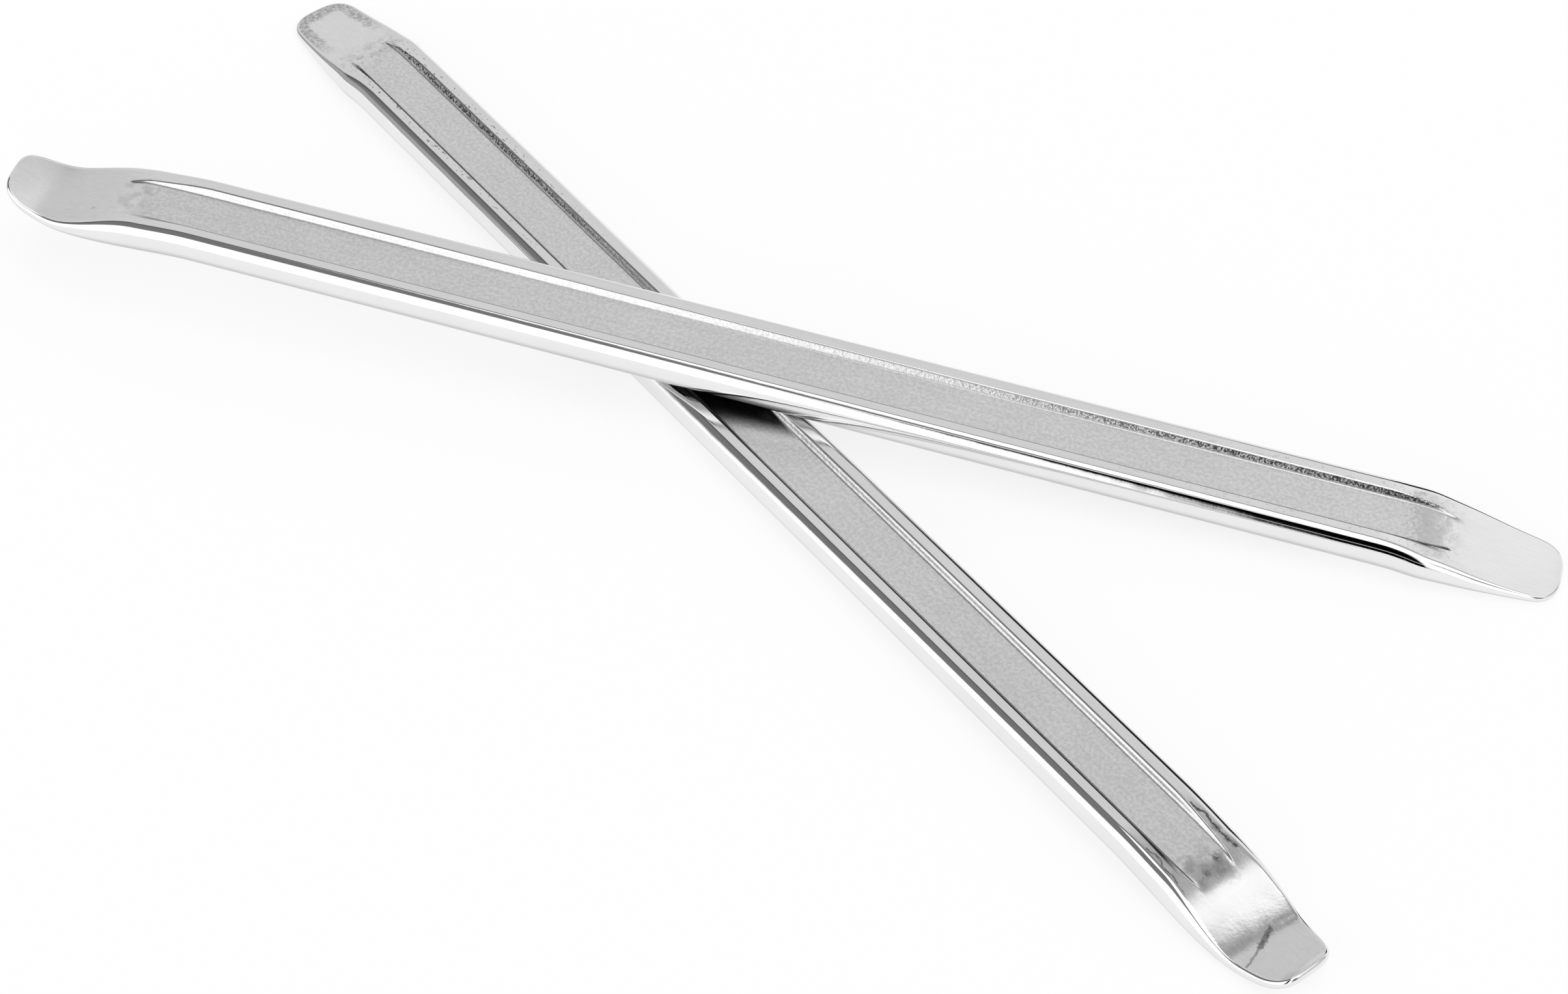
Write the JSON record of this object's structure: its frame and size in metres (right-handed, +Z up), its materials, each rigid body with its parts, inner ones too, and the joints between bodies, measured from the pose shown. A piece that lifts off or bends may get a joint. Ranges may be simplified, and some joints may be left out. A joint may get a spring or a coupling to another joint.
{
  "type": "tyre lever pair",
  "caption": "Crossed pair of drop-forged tyre levers, each a straight bar of double-T section with a flat tongue at one end and an upturned spoon at the other.",
  "frame": {"origin": "centre of the pair's footprint, on the floor it lies on", "axes": "+X bisects the narrow angle between the levers, towards the lower lever's spoon and the upper lever's tongue; +Z up, away from the floor"},
  "size_m": [0.3876, 0.1492, 0.0273],
  "materials": {
    "chrome_steel": "chrome plate on forged steel: bright sides, satin rails and ends, fine-grained matt web"
  },
  "bodies": {
    "lower_lever": {"lower_lever": "chrome_steel"},
    "upper_lever": {"upper_lever": "chrome_steel"}
  },
  "joints": [
    {"name": "upper_lever_lift", "type": "slide", "parent": "lower_lever", "child": "upper_lever", "axis": [0, 0, 1], "range_m": [0, 0.06]}
  ]
}
